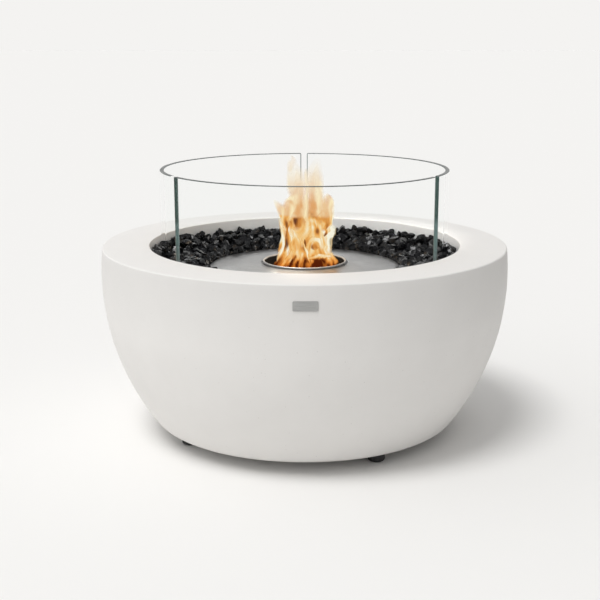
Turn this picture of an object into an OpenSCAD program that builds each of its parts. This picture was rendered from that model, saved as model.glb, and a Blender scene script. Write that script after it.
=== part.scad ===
// Free-standing fire bowl. A hollow cast bowl stands on four rubber feet. A steel burner
// drops into the shelf of its recess, and three curved glass panels stand round the burner
// in shoes that broken-glass lumps cover. The burner and the panels lift out upwards.
// Millimetres, +Z up, origin on the floor under the centre, front towards -Y.

/* [Bowl] */
// Widest diameter of the bowl
bowl_d = 600; // [570:1:680]
// Height of the casting, from its underside to its rim
bowl_h = 266; // [245:1:300]
// Height of the widest part above the underside
bulge_h = 225; // [205:1:240]
// Radius of the curve of the side, seen in section
side_r = 362; // [340:1:420]
// Rounding where the side turns under
base_round = 24; // [10:1:30]
// Rounding of the outer edge of the rim
rim_round = 5; // [2:0.5:10]
// Diameter of the recess at the rim
mouth_d = 459; // [450:1:500]
// Rounding of the inner edge of the rim
mouth_round = 3; // [1:0.5:6]
// Wall of the casting
wall = 18; // [14:0.5:24]
// Depth of the shelf below the rim
shelf_depth = 40; // [34:0.5:50]

/* [Base] */
// Width of the ring that carries the feet
ring_w = 50; // [44:1:70]
// Thickness of the cover that closes the underside
cover_t = 3; // [2:0.5:5]
// How far the cover laps onto the ring
cover_lap = 12; // [10:0.5:16]
// Play of the cover in its rebate
cover_play = 0.5; // [0.2:0.1:1]
// Number of cover screws
cover_screw_n = 6; // [4:1:12]

/* [Feet] */
// Diameter of a foot pad
foot_d = 24; // [20:0.5:30]
// Height of a foot pad
foot_h = 15; // [12:0.5:24]
// Rounding of the lower edge of a foot pad
foot_round = 4; // [1:0.5:6]
// Distance from the edge of the flat underside to the centre of a foot
foot_inset = 15; // [13:0.5:20]
// Angle of the first foot, from +X
foot_turn = -59; // [-80:1:-10]
// Depth of the screw's hole under the pad
foot_sink = 8; // [6:0.5:10]
// Length of the threaded insert over each foot
insert_l = 14; // [10:0.5:17]
// Diameter of the threaded insert
insert_d = 9; // [8:0.5:12]

/* [Screws] */
// Shank diameter of all screws
screw_d = 5; // [4:0.5:6]
// Head diameter of all screws
screw_head_d = 9; // [8:0.5:10]
// Head height of all screws
screw_head_h = 2.6; // [2:0.2:4]
// Length of thread in the casting or insert
screw_grip = 12; // [8:0.5:13]
// Radial play of a screw in its hole
screw_play = 0.1; // [0.05:0.05:0.3]

/* [Burner] */
// Diameter of the burner's top plate
plate_d = 284; // [260:1:296]
// Thickness of the top plate
plate_t = 2.5; // [1.5:0.5:4]
// How far the plate rises from its flat rim to the collar
plate_dish = 6; // [0:0.5:8]
// Thickness of the gasket under the plate
gasket_t = 1.5; // [1:0.5:3]
// Width of the gasket
gasket_w = 6; // [4:0.5:7]
// How far the plate laps onto the shelf
plate_lap = 8; // [7.5:0.5:14]
// Radial gap between the burner's skin and the shelf
skin_gap = 2; // [1:0.5:5]
// Height of the burner's skin under the plate
skin_h = 105; // [95:1:140]
// Sheet of the skin
skin_t = 1.5; // [1:0.5:3]
// Rounding of the skin's lower edge
skin_round = 5; // [3:0.5:10]
// Air gap between the skin and the fuel tank
tank_gap = 7; // [4:0.5:12]
// Sheet of the fuel tank
tank_t = 1.2; // [0.8:0.1:2]
// Height of the spacers under the tank
spacer_h = 10; // [6:0.5:16]
// Gap between the tank's edge and the plate
tank_headroom = 2; // [1:0.5:5]
// Height of the absorbent wool in the tank
wool_h = 50; // [30:1:54]

/* [Burner mouth] */
// Inner diameter of the collar
collar_d = 120; // [100:1:140]
// Wall of the collar
collar_t = 1.5; // [1:0.5:3]
// Height of the collar's lip over the plate beside it
collar_rise = 3; // [2:0.2:14]
// Radius of the rolled lip
lip_r = 1.5; // [1:0.25:2.5]
// Open groove between the lip and the edge of the plate
collar_groove = 1.5; // [0.5:0.25:4]
// Depth of the collar below the plate's top
collar_drop = 31; // [20:0.5:34]
// Width of the collar's flange under the plate
collar_flange_w = 6; // [4:0.5:12]
// Thickness of the collar's flange
collar_flange_t = 1.5; // [1:0.5:3]
// Thickness of the baffle welded across the collar's lower end
baffle_t = 1.5; // [1:0.5:3]
// Diameter of a port in the baffle
port_d = 8; // [5:0.5:10]
// Rings of ports round the middle one
port_rings = 3; // [1:1:3]

/* [Glass screen] */
// Diameter of the screen at the middle of the glass
glass_d = 417; // [400:1:420]
// Thickness of the glass
glass_t = 6; // [5:0.5:8]
// Height of the glass above the rim
glass_rise = 110.5; // [80:0.5:160]
// Gap between two panels
glass_gap = 9.5; // [4:0.5:14]
// Arris ground on the edges of the glass
arris = 0.8; // [0.4:0.1:1.5]

/* [Glass shoes] */
// Length of a shoe along the glass
shoe_l = 40; // [30:1:60]
// Height of a shoe
shoe_h = 12; // [9:0.5:14]
// Sheet of a shoe
shoe_t = 1.5; // [1:0.25:2]
// Thickness of the liner in a shoe
liner_t = 1.5; // [1:0.25:2]
// Play between the glass and the liner
glass_play = 0.3; // [0.2:0.05:0.5]
// Play between the liner and the shoe
liner_play = 0.1; // [0.05:0.05:0.2]
// Angle from the middle of a panel to each of its shoes
shoe_turn = 42; // [25:1:46]
// Length of the foot of a shoe, towards the burner
tab_l = 16; // [14:0.5:20]
// Width of the foot of a shoe
tab_w = 20; // [16:0.5:28]

/* [Lumps] */
// Width of a lump inside the screen
lump_w = 19; // [14:0.5:24]
// Width of a lump outside the screen
lump_out_w = 14; // [11:0.5:18]
// Height of the lumps next to the burner
lump_low = 12; // [9:0.5:15]
// Height of the lumps next to the recess wall
lump_high = 20; // [14:0.5:24]
// Gap between lumps and what stands beside them
lump_gap = 0.8; // [0.4:0.1:2]
// Gap between a lump and the shelf that it lies on
lump_seat = 0.1; // [0.05:0.05:0.3]
// Seed of the lumps' shapes
lump_seed = 11; // [1:1:99]

/* [Front plate] */
// Width of the front plate
front_w = 32; // [20:1:60]
// Height of the front plate
front_h = 12; // [8:0.5:18]
// Thickness of the front plate
front_t = 0.8; // [0.5:0.1:1.5]
// Thickness of the bonding pad behind it
front_pad_t = 0.4; // [0.2:0.1:0.8]
// Distance from the rim down to the middle of the front plate
front_drop = 27; // [22:0.5:80]
// Corner radius of the front plate
front_corner = 1.2; // [0.4:0.1:3]

/* [Hidden] */
$fn = 96;
bowl_r = bowl_d / 2;
mouth_r = mouth_d / 2;
z_under = foot_h;
z_rim = z_under + bowl_h;
z_shelf = z_rim - shelf_depth;
// Centre of the side's curve in the section plane, where x is the radius
side_c = [bowl_r - side_r, z_under + bulge_h];
// Centres of the two roundings that meet the side's curve from inside
base_c = round_centre(base_round, z_under + base_round);
rim_c = round_centre(rim_round, z_rim - rim_round);
flat_r = base_c[0];
ring_r = flat_r - ring_w;
foot_r = flat_r - foot_inset;
cover_r = ring_r + cover_lap;
cover_screw_r = ring_r + cover_lap / 2;
screw_hole_r = screw_d / 2 + screw_play;
insert_hole_r = insert_d / 2 + screw_play;
foot_names = ["foot_front_right", "foot_back_right", "foot_back_left", "foot_front_left"];

plate_r = plate_d / 2;
well_r = plate_r - plate_lap;
skin_r = well_r - skin_gap;
tank_r = skin_r - skin_t - tank_gap;
z_plate_low = z_shelf + gasket_t;
z_plate = z_plate_low + plate_t;
z_skin = z_plate_low - skin_h;
z_tank = z_skin + skin_t + spacer_h;
z_tank_top = z_plate_low - tank_headroom;
collar_r = collar_d / 2;
collar_out_r = collar_r + collar_t;
plate_hole_r = collar_r + max(collar_t, 2 * lip_r) + collar_groove;
z_lip = z_plate + plate_dish + collar_rise - lip_r;
z_collar = z_plate - collar_drop;
fit_gap = 0.1;
wool_play = 0.3;

panel_names = ["front", "right", "left"];
panel_n = len(panel_names);
panel_turn = 360 / panel_n;
front_dir = -90;
glass_r = glass_d / 2;
glass_in_r = glass_r - glass_t / 2;
glass_out_r = glass_r + glass_t / 2;
glass_seat = 0.2;
panel_angle = panel_turn - arc_angle(glass_gap, glass_r);
liner_in_r = glass_in_r - glass_play - liner_t;
liner_out_r = glass_out_r + glass_play + liner_t;
shoe_in_r = liner_in_r - liner_play - shoe_t;
shoe_out_r = liner_out_r + liner_play + shoe_t;
shoe_angle = arc_angle(shoe_l, glass_r);
tab_r = shoe_in_r - tab_l;
shoe_screw_r = shoe_in_r - tab_l / 2;
tab_angle = arc_angle(tab_w, shoe_screw_r);
z_liner = z_shelf + shoe_t;
z_glass = z_liner + liner_t + glass_seat;
z_glass_top = z_rim + glass_rise;

inside_r0 = plate_r + lump_gap;
inside_r1 = shoe_in_r - lump_gap;
inside_rows = max(1, round((inside_r1 - inside_r0) / lump_w));
inside_row_w = (inside_r1 - inside_r0) / inside_rows;
outside_r0 = shoe_out_r + lump_gap;
outside_r1 = mouth_r - lump_gap;
z_front = z_rim - front_drop;

// Angle that an arc of a given length takes up at a given radius
function arc_angle(length, radius) = length / radius * 180 / PI;

// Points of an arc about a centre
function arc(centre, radius, from, to, steps) =
    [for (i = [0:steps]) let (a = from + (to - from) * i / steps)
        centre + radius * [cos(a), sin(a)]];

// Radius of the bowl's outside at a height, less an inset measured square to the side
function side_x(z, inset = 0) =
    side_c[0] + sqrt(pow(side_r - inset, 2) - pow(z - side_c[1], 2));

// Centre, at a given height, of a circle that touches the side's curve from inside
function round_centre(radius, z) = [side_x(z, radius), z];

// Angle at which such a circle meets the side's curve
function round_angle(centre) = atan2(centre[1] - side_c[1], centre[0] - side_c[0]);

// Angle on the side's curve, inset by the wall, at a height
function inner_angle(z) = asin((z - side_c[1]) / (side_r - wall));

// Section of the casting: round the outside from the ring to the rim, down the recess,
// along the shelf and back through the hollow
module bowl_section() {
    side_steps = 28;
    round_steps = 6;
    polygon(concat(
        [[ring_r, z_under + cover_t], [cover_r + cover_play, z_under + cover_t],
         [cover_r + cover_play, z_under]],
        arc(base_c, base_round, -90, round_angle(base_c), round_steps),
        arc(side_c, side_r, round_angle(base_c), round_angle(rim_c), side_steps),
        arc(rim_c, rim_round, round_angle(rim_c), 90, round_steps),
        arc([mouth_r + mouth_round, z_rim - mouth_round], mouth_round, 90, 180, round_steps),
        [[mouth_r, z_shelf], [well_r, z_shelf], [well_r, z_shelf - wall],
         [mouth_r + wall, z_shelf - wall], [mouth_r + wall, z_rim - wall]],
        arc(side_c, side_r - wall, inner_angle(z_rim - wall), inner_angle(z_under + wall), side_steps),
        [[ring_r, z_under + wall]]));
}

// Copies of a child round the axis, at a radius, from a first angle
module around(n, radius, first = 0) {
    for (i = [0:n - 1])
        rotate([0, 0, first + i * 360 / n]) translate([radius, 0, 0]) children();
}

// Copies of a child at the middle of each shoe, with +X pointing outwards
module at_shoes() {
    for (p = [0:panel_n - 1], side = [-1, 1])
        rotate([0, 0, shoe_dir(p, side)]) children();
}
function panel_dir(p) = front_dir + p * panel_turn;
function shoe_dir(p, side) = panel_dir(p) + side * shoe_turn;

// Ring sector with a section drawn by the child, centred on a direction
module sector(direction, angle) {
    rotate([0, 0, direction - angle / 2]) rotate_extrude(angle = angle) children();
}

// Pan-head screw: seat of the head at the origin, shank upwards
module screw(length) {
    cylinder(d = screw_d, h = length);
    translate([0, 0, -screw_head_h]) cylinder(d = screw_head_d, h = screw_head_h);
}

// Hollow white casting with holes for the screws and inserts
module bowl() {
    color("#e9e8e5") difference() {
        rotate_extrude() bowl_section();
        around(4, foot_r, foot_turn) translate([0, 0, z_under - 1])
            cylinder(r = insert_hole_r, h = insert_l + 1 + fit_gap);
        around(cover_screw_n, cover_screw_r) translate([0, 0, z_under])
            cylinder(r = screw_hole_r, h = cover_t + screw_grip + fit_gap);
        at_shoes() translate([shoe_screw_r, 0, z_shelf - screw_grip - fit_gap])
            cylinder(r = screw_hole_r, h = screw_grip + fit_gap + 1);
    }
}

// Sheet that closes the underside, flush with the ring
module base_cover() {
    color("#3a3b3d") difference() {
        translate([0, 0, z_under]) cylinder(r = cover_r, h = cover_t);
        around(cover_screw_n, cover_screw_r) translate([0, 0, z_under - 1])
            cylinder(r = screw_hole_r, h = cover_t + 2);
    }
}

module cover_screws() {
    color("#b8babc") around(cover_screw_n, cover_screw_r) translate([0, 0, z_under])
        screw(cover_t + screw_grip);
}

// Rubber pad with a rounded tread and a sunk hole for its screw
module foot(i) {
    pad_r = foot_d / 2;
    head_hole_r = screw_head_d / 2 + screw_play;
    color("#161616") rotate([0, 0, foot_turn + i * 90]) translate([foot_r, 0, 0])
        rotate_extrude() polygon(concat(
            [[head_hole_r, 0]],
            arc([pad_r - foot_round, foot_round], foot_round, -90, 0, 8),
            [[pad_r, foot_h], [screw_hole_r, foot_h], [screw_hole_r, foot_sink],
             [head_hole_r, foot_sink]]));
}

module foot_inserts() {
    color("#b59a55") around(4, foot_r, foot_turn) translate([0, 0, z_under])
        difference() {
            cylinder(d = insert_d, h = insert_l);
            translate([0, 0, -1]) cylinder(r = screw_hole_r, h = insert_l + 2);
        }
}

module foot_screws() {
    color("#b8babc") around(4, foot_r, foot_turn) translate([0, 0, foot_sink])
        screw(foot_h - foot_sink + min(screw_grip, insert_l));
}

// Patch of a shell that lies on the front of the bowl, between two distances from it
module front_patch(near, far) {
    steps = 4;
    z0 = z_front - front_h / 2;
    z1 = z_front + front_h / 2;
    patch_angle = arc_angle(front_w, bowl_r) + 4;
    inner = [for (i = [0:steps]) let (z = z0 + (z1 - z0) * i / steps) [side_x(z) + near, z]];
    outer = [for (i = [steps:-1:0]) let (z = z0 + (z1 - z0) * i / steps) [side_x(z) + far, z]];
    intersection() {
        sector(front_dir, patch_angle) polygon(concat(inner, outer));
        translate([0, 0, z_front]) rotate([90, 0, 0]) linear_extrude(bowl_d) front_outline();
    }
}

// Rounded rectangle of the front plate
module front_outline() {
    square([front_w, front_h - 2 * front_corner], center = true);
    square([front_w - 2 * front_corner, front_h], center = true);
    for (x = [-1, 1], y = [-1, 1])
        translate([x * (front_w / 2 - front_corner), y * (front_h / 2 - front_corner)])
            circle(front_corner);
}

module front_plate() {
    color("#9a9a98") front_patch(front_pad_t, front_pad_t + front_t);
}

module front_plate_pad() {
    color("#2b2b2b") front_patch(0.05, front_pad_t);
}

module burner_gasket() {
    gasket_r = (well_r + plate_r) / 2;
    color("#d8d4c8") rotate_extrude()
        translate([gasket_r - gasket_w / 2, z_shelf]) square([gasket_w, gasket_t]);
}

// Round top plate with a broken outer edge. Its rim is flat where it lies on the gasket and
// the skin, and the rest rises to the groove round the collar.
module burner_plate() {
    edge = plate_t / 4;
    flat_in_r = skin_r - skin_t;
    color("#a9aaab") rotate_extrude() polygon([
        [plate_hole_r, z_plate_low + plate_dish], [flat_in_r, z_plate_low],
        [plate_r, z_plate_low], [plate_r, z_plate - edge], [plate_r - edge, z_plate],
        [flat_in_r, z_plate], [plate_hole_r, z_plate + plate_dish]]);
}

// Height of the underside of the plate's rising part at a radius
function z_under_plate(radius) = z_plate_low
    + plate_dish * (skin_r - skin_t - radius) / (skin_r - skin_t - plate_hole_r);

// Collar: tube with a rolled lip and a flange that holds it under the plate
module burner_collar() {
    flange_r = plate_hole_r + collar_flange_w;
    z_in = z_under_plate(collar_out_r);
    z_out = z_under_plate(flange_r);
    color("#c4c5c6") rotate_extrude() {
        translate([collar_r, z_collar]) square([collar_t, z_lip - z_collar]);
        translate([collar_r + lip_r, z_lip]) circle(lip_r);
        polygon([[collar_r, z_in - collar_flange_t], [collar_out_r, z_in - collar_flange_t],
                 [flange_r, z_out - collar_flange_t], [flange_r, z_out],
                 [collar_out_r, z_in], [collar_r, z_in]]);
    }
}

// Perforated disc across the lower end of the collar
module burner_baffle() {
    pitch = (collar_r - port_d / 2) / (port_rings + 0.5);
    color("#6f7072") translate([0, 0, z_collar - baffle_t]) difference() {
        cylinder(r = collar_out_r, h = baffle_t);
        translate([0, 0, -1]) cylinder(d = port_d, h = baffle_t + 2);
        for (ring = [1:port_rings])
            around(6 * ring, ring * pitch) translate([0, 0, -1])
                cylinder(d = port_d, h = baffle_t + 2);
    }
}

// Section of a can with a rounded lower edge, open at the top
module can_section(radius, sheet, z0, z1, edge) {
    inner_edge = edge - sheet;
    polygon(concat(
        [[0, z0]],
        arc([radius - edge, z0 + edge], edge, -90, 0, 8),
        [[radius, z1], [radius - sheet, z1]],
        arc([radius - edge, z0 + edge], inner_edge, 0, -90, 8),
        [[0, z0 + sheet]]));
}

module burner_skin() {
    color("#8d8f91") rotate_extrude()
        can_section(skin_r, skin_t, z_skin, z_plate_low, skin_round);
}

module fuel_tank() {
    color("#9c9ea0") rotate_extrude()
        can_section(tank_r, tank_t, z_tank, z_tank_top, skin_round);
}

// Blocks that hold the tank off the skin
module tank_spacers() {
    spacer_w = spacer_h * 2;
    color("#d8d4c8") around(4, tank_r * 0.7, 45)
        translate([-spacer_w / 2, -spacer_w / 2, z_skin + skin_t])
            cube([spacer_w, spacer_w, spacer_h]);
}

module fuel_wool() {
    wool_r = tank_r - tank_t - wool_play;
    color("#efece2") rotate_extrude() polygon(concat(
        [[0, z_tank + tank_t]],
        arc([tank_r - skin_round, z_tank + skin_round], skin_round - tank_t, -90, -10, 6),
        [[wool_r, z_tank + skin_round], [wool_r, z_tank + tank_t + wool_h],
         [0, z_tank + tank_t + wool_h]]));
}

// Curved panel with ground edges, standing in its two shoes
module glass_panel(p) {
    color("#cfe3df", 0.35) sector(panel_dir(p), panel_angle) polygon([
        [glass_in_r + arris, z_glass], [glass_out_r - arris, z_glass],
        [glass_out_r, z_glass + arris], [glass_out_r, z_glass_top - arris],
        [glass_out_r - arris, z_glass_top], [glass_in_r + arris, z_glass_top],
        [glass_in_r, z_glass_top - arris], [glass_in_r, z_glass + arris]]);
}

// Section of a channel with a floor and two walls
module channel_section(in_r, out_r, sheet, z0, z1) {
    polygon([[in_r, z0], [out_r, z0], [out_r, z1], [out_r - sheet, z1],
             [out_r - sheet, z0 + sheet], [in_r + sheet, z0 + sheet],
             [in_r + sheet, z1], [in_r, z1]]);
}

// Folded channel with a foot that is screwed to the shelf
module shoe(p, side) {
    direction = shoe_dir(p, side);
    color("#a4a6a8") difference() {
        union() {
            sector(direction, shoe_angle)
                channel_section(shoe_in_r, shoe_out_r, shoe_t, z_shelf, z_shelf + shoe_h);
            sector(direction, tab_angle) translate([tab_r, z_shelf])
                square([tab_l + shoe_t, shoe_t]);
        }
        rotate([0, 0, direction]) translate([shoe_screw_r, 0, z_shelf - 1])
            cylinder(r = screw_hole_r, h = shoe_t + 2);
    }
}

module liner(p, side) {
    color("#3d3f40") sector(shoe_dir(p, side), shoe_angle)
        channel_section(liner_in_r, liner_out_r, liner_t, z_liner, z_shelf + shoe_h);
}

module shoe_screws() {
    color("#b8babc") at_shoes() translate([shoe_screw_r, 0, z_shelf + shoe_t])
        rotate([180, 0, 0]) screw(shoe_t + screw_grip);
}

// Broken-glass lumps. Each one starts as a ball of twelve corners: two poles and two rings
// of five. Each corner is drawn in by chance, and the ball is turned and stretched.
lump_corners = concat(
    [[0, 0, 1]],
    [for (i = [0:4]) [cos(72 * i) * 2, sin(72 * i) * 2, 1] / sqrt(5)],
    [for (i = [0:4]) [cos(72 * i + 36) * 2, sin(72 * i + 36) * 2, -1] / sqrt(5)],
    [[0, 0, -1]]);
lump_faces = concat(
    [for (i = [0:4]) [0, 1 + (i + 1) % 5, 1 + i]],
    [for (i = [0:4]) [1 + i, 1 + (i + 1) % 5, 6 + i]],
    [for (i = [0:4]) [6 + i, 1 + (i + 1) % 5, 6 + (i + 1) % 5]],
    [for (i = [0:4]) [6 + i, 6 + (i + 1) % 5, 11]]);

// Corner turned about X by one angle and then about Z by another
function turned(v, a, b) =
    let (y = v[1] * cos(a) - v[2] * sin(a), z = v[1] * sin(a) + v[2] * cos(a))
        [v[0] * cos(b) - y * sin(b), v[0] * sin(b) + y * cos(b), z];

// One lump that fills a box of given half sizes and lies on the shelf
module lump(half, seed) {
    n = len(lump_corners);
    chance = rands(0, 1, n + 2, seed);
    ball = [for (i = [0:n - 1])
        turned(lump_corners[i] * (0.78 + 0.22 * chance[i]), 360 * chance[n], 360 * chance[n + 1])];
    reach = [for (axis = [0:2]) max([for (v = ball) abs(v[axis])])];
    corners = [for (v = ball) [for (axis = [0:2]) v[axis] * half[axis] / reach[axis]]];
    lowest = min([for (v = corners) v[2]]);
    translate([0, 0, z_shelf + lump_seat - lowest]) polyhedron(corners, lump_faces);
}

// One ring of lumps between two radii. A lump that would lie on the foot of a shoe is left out.
module lump_ring(r0, r1, width, height, seed) {
    n = floor(2 * PI * r0 / width);
    half_r = (r1 - r0 - lump_gap) / 2;
    half_t = r0 * tan(180 / n) - lump_gap / 2;
    sizes = rands(0.82, 1, n, seed);
    for (i = [0:n - 1]) {
        direction = i * 360 / n + seed * 7;
        if (r1 < tab_r || r0 > shoe_out_r || clear_of_tabs(direction, arc_angle(half_t, r0)))
            rotate([0, 0, direction]) translate([(r0 + r1) / 2, 0, 0])
                lump([half_r, half_t, height * sizes[i] / 2], seed * 1000 + i);
    }
}

// Whether a lump of a given half angle stays clear of the feet of all shoes
function clear_of_tabs(direction, half_angle) =
    min([for (p = [0:panel_n - 1], side = [-1, 1])
        abs(acos(cos(direction - shoe_dir(p, side))))]) > half_angle + tab_angle / 2 + 0.2;

module lumps_inside() {
    color("#1d1e20") for (row = [0:inside_rows - 1]) {
        r0 = inside_r0 + row * inside_row_w;
        share = (row + 0.5) / inside_rows;
        lump_ring(r0, r0 + inside_row_w, lump_w,
                  lump_low + (lump_high - lump_low) * share, lump_seed + row);
    }
}

module lumps_outside() {
    color("#1d1e20") lump_ring(outside_r0, outside_r1, lump_out_w, lump_high,
                               lump_seed + inside_rows);
}

bowl();
base_cover();
cover_screws();
for (i = [0:3])
    foot(i);
foot_inserts();
foot_screws();
front_plate();
front_plate_pad();
burner_gasket();
burner_plate();
burner_collar();
burner_baffle();
burner_skin();
fuel_tank();
tank_spacers();
fuel_wool();
for (p = [0:panel_n - 1])
    glass_panel(p);
for (p = [0:panel_n - 1], k = [1, 2])
    shoe(p, 2 * k - 3);
for (p = [0:panel_n - 1], k = [1, 2])
    liner(p, 2 * k - 3);
shoe_screws();
lumps_inside();
lumps_outside();
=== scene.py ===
import math
import random
import bpy
from mathutils import Euler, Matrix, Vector


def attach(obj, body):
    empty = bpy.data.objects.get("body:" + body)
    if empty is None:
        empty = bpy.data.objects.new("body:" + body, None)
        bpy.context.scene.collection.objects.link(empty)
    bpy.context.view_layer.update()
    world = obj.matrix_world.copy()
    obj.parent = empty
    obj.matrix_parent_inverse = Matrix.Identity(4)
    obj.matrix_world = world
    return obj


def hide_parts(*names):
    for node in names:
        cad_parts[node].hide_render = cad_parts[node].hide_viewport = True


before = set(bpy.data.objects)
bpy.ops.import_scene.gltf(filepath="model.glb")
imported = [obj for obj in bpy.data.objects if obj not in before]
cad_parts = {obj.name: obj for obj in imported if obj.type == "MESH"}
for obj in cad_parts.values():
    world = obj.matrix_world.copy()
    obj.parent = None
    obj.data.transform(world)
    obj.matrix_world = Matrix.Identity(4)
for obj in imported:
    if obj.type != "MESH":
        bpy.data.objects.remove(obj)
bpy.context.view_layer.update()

# Camera: a short telephoto lens about 1.7 m in front of the bowl and a little above the
# glass, tilted down so that the recess shows over the front of the rim.
tilt_down = 13.24
lens = bpy.data.cameras.new("camera")
lens.sensor_fit = "HORIZONTAL"
lens.sensor_width = 36.0
lens.lens = 67.82
camera = bpy.data.objects.new("camera", lens)
bpy.context.scene.collection.objects.link(camera)
camera.location = (-0.0067, -1.662, 0.5827)
camera.rotation_euler = (math.radians(90 - tilt_down), 0, 0)
bpy.context.scene.camera = camera
bpy.context.scene.view_settings.view_transform = "Standard"


# Studio: a plain pale floor that runs out to the horizon, a dome of light that falls off to the
# right, and one broad lamp from the upper left. A backdrop in the floor's colour goes all round,
# up to a darker ceiling.
def put(tree, kind, sockets=None, **settings):
    """A new shader node. Each of its sockets takes a value or a link."""
    made = tree.nodes.new(kind)
    for key, value in settings.items():
        setattr(made, key, value)
    for key, value in (sockets or {}).items():
        if isinstance(value, bpy.types.NodeSocket):
            tree.links.new(value, made.inputs[key])
        else:
            made.inputs[key].default_value = value
    return made


def worked(tree, operation, *values):
    """A sum with one to three values."""
    return put(tree, "ShaderNodeMath", dict(enumerate(values)), operation=operation).outputs[0]


def ranged(tree, value, low, high, start=0.0, end=1.0):
    """From low to high, while a value runs from start to end."""
    limits = {"From Min": start, "From Max": end, "To Min": low, "To Max": high}
    return put(tree, "ShaderNodeMapRange", {"Value": value, **limits}).outputs[0]


def mixed(tree, mask, low, high, blend="MIX"):
    """A colour between two, by a mask."""
    colours = {0: mask, 6: low, 7: high}
    return put(tree, "ShaderNodeMix", colours, data_type="RGBA", blend_type=blend).outputs[2]


def new_finish(name):
    finish = bpy.data.materials.new(name)
    finish.use_nodes = True
    return finish, finish.node_tree, finish.node_tree.nodes["Principled BSDF"]


floor_size, floor_drop = 80, 0.0002
bpy.ops.object.select_all(action="DESELECT")
bpy.ops.mesh.primitive_plane_add(size=floor_size, location=(0, 0, -floor_drop))
floor = bpy.context.object
floor.name = "floor"
floor_paint, tree, shader = new_finish("floor_paint")
shader.inputs["Base Color"].default_value = (0.862, 0.854, 0.838, 1.0)
shader.inputs["Roughness"].default_value = 1.0
shader.inputs["Specular IOR Level"].default_value = 0.0
floor.data.materials.append(floor_paint)

paper, ceiling = (0.905, 0.896, 0.880, 1.0), (0.26, 0.26, 0.27, 1.0)
dome_left, dome_right = 1.00, 0.26
world = bpy.data.worlds.new("studio")
bpy.context.scene.world = world
world.use_nodes = True
tree = world.node_tree
rays = put(tree, "ShaderNodeLightPath").outputs
seen = worked(tree, "MAXIMUM", rays["Is Camera Ray"], rays["Is Glossy Ray"])
seen = worked(tree, "MAXIMUM", seen, rays["Is Transmission Ray"])
sky = put(tree, "ShaderNodeTexCoord").outputs["Generated"]
towards = put(tree, "ShaderNodeSeparateXYZ", {0: sky}).outputs
dome = tree.nodes["Background"]
dome.inputs["Color"].default_value = (1.0, 1.0, 1.0, 1.0)
tree.links.new(ranged(tree, towards["X"], dome_left, dome_right, -1.0, 1.0), dome.inputs["Strength"])
around = mixed(tree, ranged(tree, towards["Z"], 0.0, 1.0, 0.40, 0.75), paper, ceiling)
backdrop = put(tree, "ShaderNodeBackground", {"Color": around, "Strength": 1.0})
either = put(tree, "ShaderNodeMixShader", {0: seen, 1: dome.outputs[0], 2: backdrop.outputs[0]})
tree.links.new(either.outputs[0], tree.nodes["World Output"].inputs["Surface"])

lamp = bpy.data.lights.new("window", "SUN")
lamp.energy = 1.46
lamp.angle = math.radians(22)
window = bpy.data.objects.new("window", lamp)
bpy.context.scene.collection.objects.link(window)
window.rotation_euler = Vector((0.13, 0.15, -0.43)).to_track_quat("-Z", "Y").to_euler()


# Bowl: one hollow casting of white fine concrete, 18 mm thick, struck from a smooth mould and
# rubbed down by hand. Its side swells to the widest line just under the broad flat rim.
def arc(centre, radius, start, end, steps):
    ways = [start + (end - start) * i / steps for i in range(steps + 1)]
    return [(centre[0] + radius * math.cos(way), centre[1] + radius * math.sin(way)) for way in ways]


full_turn, weld, speck = 2 * math.pi, 1e-7, 0.0001


def turned(name, outline, steps=192, sweep=full_turn, start=0.0, centre=(0.0, 0.0), smooth=30):
    """A closed half section, drawn point by point and spun about the upright axis."""
    bpy.ops.object.select_all(action="DESELECT")
    bpy.ops.mesh.primitive_plane_add(size=speck)
    piece = bpy.context.object
    piece.name = piece.data.name = name
    bpy.ops.object.mode_set(mode="EDIT")
    bpy.ops.mesh.merge(type="CENTER")
    points = [Vector((r * math.cos(start), r * math.sin(start), z)) for r, z in outline]
    bpy.ops.transform.translate(value=points[0])
    for before, after in zip(points, points[1:] + points[:1]):
        bpy.ops.mesh.extrude_region_move(TRANSFORM_OT_translate={"value": after - before})
    bpy.ops.mesh.select_all(action="SELECT")
    bpy.ops.mesh.remove_doubles(threshold=weld)
    bpy.ops.mesh.select_all(action="SELECT")
    bpy.ops.mesh.spin(steps=steps, angle=-sweep, center=(0, 0, 0), axis=(0, 0, 1))
    bpy.ops.mesh.select_all(action="SELECT")
    bpy.ops.mesh.remove_doubles(threshold=weld)
    if sweep < full_turn:
        bpy.ops.mesh.fill_holes(sides=0)
    bpy.ops.mesh.select_all(action="SELECT")
    bpy.ops.transform.translate(value=(centre[0], centre[1], 0))
    bpy.ops.mesh.normals_make_consistent(inside=False)
    bpy.ops.object.mode_set(mode="OBJECT")
    bpy.ops.object.shade_smooth_by_angle(angle=math.radians(smooth))
    return piece


side_middle, side_r, wall = (-0.062, 0.240), 0.362, 0.018
z_under, z_rim, z_shelf = 0.015, 0.281, 0.241
mouth_r, well_r, ring_r = 0.2295, 0.134, 0.15967
rebate_r, rebate_h = 0.17217, 0.003
base_round, rim_round, mouth_round = 0.024, 0.0025, 0.0012


def side_x(z, inset=0.0):
    return side_middle[0] + math.sqrt((side_r - inset) ** 2 - (z - side_middle[1]) ** 2)


def meets(centre):
    return math.atan2(centre[1] - side_middle[1], centre[0] - side_middle[0])


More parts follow.
